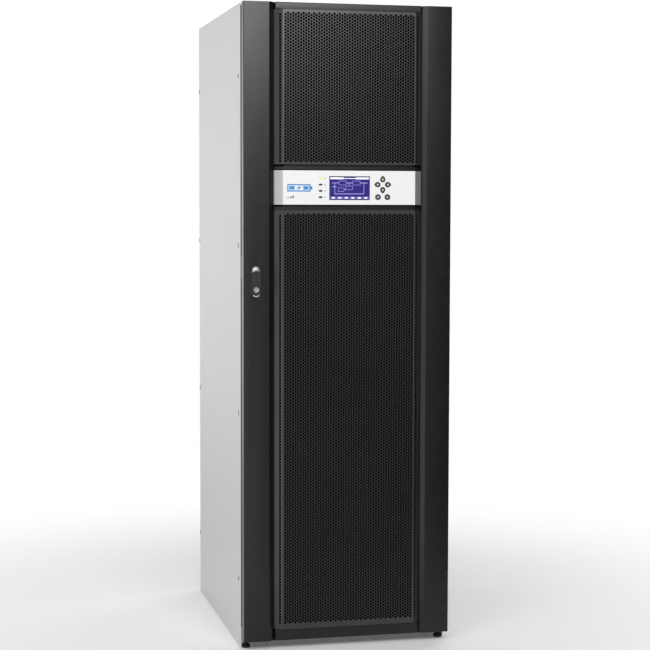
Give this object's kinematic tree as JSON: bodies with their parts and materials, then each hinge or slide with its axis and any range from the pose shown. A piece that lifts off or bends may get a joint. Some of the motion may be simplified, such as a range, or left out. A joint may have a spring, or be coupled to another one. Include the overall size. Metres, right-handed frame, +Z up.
{
  "type": "battery backup cabinet",
  "caption": "Tall floor-standing battery backup power cabinet with a perforated hinged front door, a control panel, a swing-handle latch, battery packs on shelves and levelling feet.",
  "frame": {"origin": "on the floor at the middle of the whole outline", "axes": "+Z up; the door faces -Y, so +X is to the right of someone who faces the door"},
  "size_m": [0.6, 0.814, 1.82],
  "materials": {
    "grey_paint": "light silver-grey satin powder coat",
    "black_paint": "black semi-gloss powder coat",
    "strip_paint": "mid grey satin paint",
    "silver_paint": "pale silver satin paint",
    "galvanised_steel": "galvanised sheet steel",
    "zinc_alloy": "satin zinc die casting",
    "dark_plastic": "dark grey moulded plastic",
    "lever_plastic": "green moulded plastic",
    "foot_rubber": "black rubber",
    "filter_foam": "black open-cell foam",
    "screen_plastic": "blue display window",
    "button_rubber": "grey key rubber"
  },
  "bodies": {
    "cabinet": {"left_side_panel": "grey_paint", "right_side_panel": "grey_paint", "top_cover": "grey_paint", "top_gland_plate": "grey_paint", "rear_panel": "grey_paint", "base_plate": "black_paint", "kick_strip": "strip_paint", "post_front_left": "galvanised_steel", "post_front_right": "galvanised_steel", "post_rear_left": "galvanised_steel", "post_rear_right": "galvanised_steel", "hinge_bracket_lower": "galvanised_steel", "hinge_bracket_upper": "galvanised_steel", "strike_plate": "galvanised_steel", "battery_shelf_1": "galvanised_steel", "battery_shelf_2": "galvanised_steel", "battery_shelf_3": "galvanised_steel", "battery_pack_1": "dark_plastic", "battery_pack_2": "dark_plastic", "battery_pack_3": "dark_plastic", "battery_pack_4": "dark_plastic", "battery_pack_5": "dark_plastic", "battery_pack_6": "dark_plastic", "breaker_panel": "grey_paint", "breaker_1": "dark_plastic", "breaker_2": "dark_plastic", "power_module_1": "dark_plastic", "power_module_2": "dark_plastic"},
    "door": {"door_pillar_left": "black_paint", "door_pillar_right": "black_paint", "door_rail_top": "black_paint", "door_rail_bottom": "black_paint", "upper_grille": "black_paint", "lower_grille": "black_paint", "upper_trim": "black_paint", "lower_trim": "black_paint", "upper_air_filter": "filter_foam", "lower_air_filter": "filter_foam", "control_panel": "silver_paint", "screen_window": "screen_plastic", "display_board": "dark_plastic", "led_strip": "screen_plastic", "latch_plate": "zinc_alloy"},
    "latch_spindle": {"latch_spindle": "zinc_alloy"},
    "latch_handle": {"latch_handle": "black_paint"},
    "latch_key": {"key_cylinder": "zinc_alloy"},
    "button_up": {"button_up": "button_rubber"},
    "button_down": {"button_down": "button_rubber"},
    "button_left": {"button_left": "button_rubber"},
    "button_right": {"button_right": "button_rubber"},
    "button_enter": {"button_enter": "button_rubber"},
    "button_escape": {"button_escape": "button_rubber"},
    "breaker_lever_1": {"breaker_lever_1": "lever_plastic"},
    "breaker_lever_2": {"breaker_lever_2": "lever_plastic"},
    "fan_rotor_1": {"fan_rotor_1": "dark_plastic"},
    "fan_rotor_2": {"fan_rotor_2": "dark_plastic"},
    "foot_front_left": {"foot_front_left": "foot_rubber"},
    "foot_front_right": {"foot_front_right": "foot_rubber"},
    "foot_rear_left": {"foot_rear_left": "foot_rubber"},
    "foot_rear_right": {"foot_rear_right": "foot_rubber"}
  },
  "joints": [
    {"name": "door_hinge", "type": "hinge", "parent": "cabinet", "child": "door", "pos_m": [0.294, -0.352, 0.9], "axis": [0, 0, 1], "range_deg": [0, 110]},
    {"name": "latch_turn", "type": "hinge", "parent": "door", "child": "latch_spindle", "pos_m": [-0.2665, -0.4015, 1.0836], "axis": [0, 1, 0], "range_deg": [0, 90]},
    {"name": "handle_lift", "type": "hinge", "parent": "latch_spindle", "child": "latch_handle", "pos_m": [-0.2665, -0.4015, 1.0836], "axis": [-1, 0, 0], "range_deg": [0, 40]},
    {"name": "key_turn", "type": "hinge", "parent": "latch_handle", "child": "latch_key", "pos_m": [-0.2665, -0.4068, 1.024], "axis": [0, 1, 0], "range_deg": [0, 90]},
    {"name": "button_up_press", "type": "slide", "parent": "door", "child": "button_up", "axis": [0, 1, 0], "range_m": [0, 0.0015], "stiffness_N_per_m": 400},
    {"name": "button_down_press", "type": "slide", "parent": "door", "child": "button_down", "axis": [0, 1, 0], "range_m": [0, 0.0015], "stiffness_N_per_m": 400},
    {"name": "button_left_press", "type": "slide", "parent": "door", "child": "button_left", "axis": [0, 1, 0], "range_m": [0, 0.0015], "stiffness_N_per_m": 400},
    {"name": "button_right_press", "type": "slide", "parent": "door", "child": "button_right", "axis": [0, 1, 0], "range_m": [0, 0.0015], "stiffness_N_per_m": 400},
    {"name": "button_enter_press", "type": "slide", "parent": "door", "child": "button_enter", "axis": [0, 1, 0], "range_m": [0, 0.0015], "stiffness_N_per_m": 400},
    {"name": "button_escape_press", "type": "slide", "parent": "door", "child": "button_escape", "axis": [0, 1, 0], "range_m": [0, 0.0015], "stiffness_N_per_m": 400},
    {"name": "breaker_1_toggle", "type": "hinge", "parent": "cabinet", "child": "breaker_lever_1", "pos_m": [-0.09, -0.325, 1.011], "axis": [1, 0, 0], "range_deg": [0, 60]},
    {"name": "breaker_2_toggle", "type": "hinge", "parent": "cabinet", "child": "breaker_lever_2", "pos_m": [0.09, -0.325, 1.011], "axis": [1, 0, 0], "range_deg": [0, 60]},
    {"name": "fan_1_spin", "type": "hinge", "parent": "cabinet", "child": "fan_rotor_1", "pos_m": [0, -0.307, 1.26763], "axis": [0, 1, 0], "continuous": true},
    {"name": "fan_2_spin", "type": "hinge", "parent": "cabinet", "child": "fan_rotor_2", "pos_m": [0, -0.307, 1.61888], "axis": [0, 1, 0], "continuous": true},
    {"name": "foot_front_left_level", "type": "slide", "parent": "cabinet", "child": "foot_front_left", "axis": [0, 0, 1], "range_m": [-0.02, 0]},
    {"name": "foot_front_right_level", "type": "slide", "parent": "cabinet", "child": "foot_front_right", "axis": [0, 0, 1], "range_m": [-0.02, 0]},
    {"name": "foot_rear_left_level", "type": "slide", "parent": "cabinet", "child": "foot_rear_left", "axis": [0, 0, 1], "range_m": [-0.02, 0]},
    {"name": "foot_rear_right_level", "type": "slide", "parent": "cabinet", "child": "foot_rear_right", "axis": [0, 0, 1], "range_m": [-0.02, 0]}
  ]
}
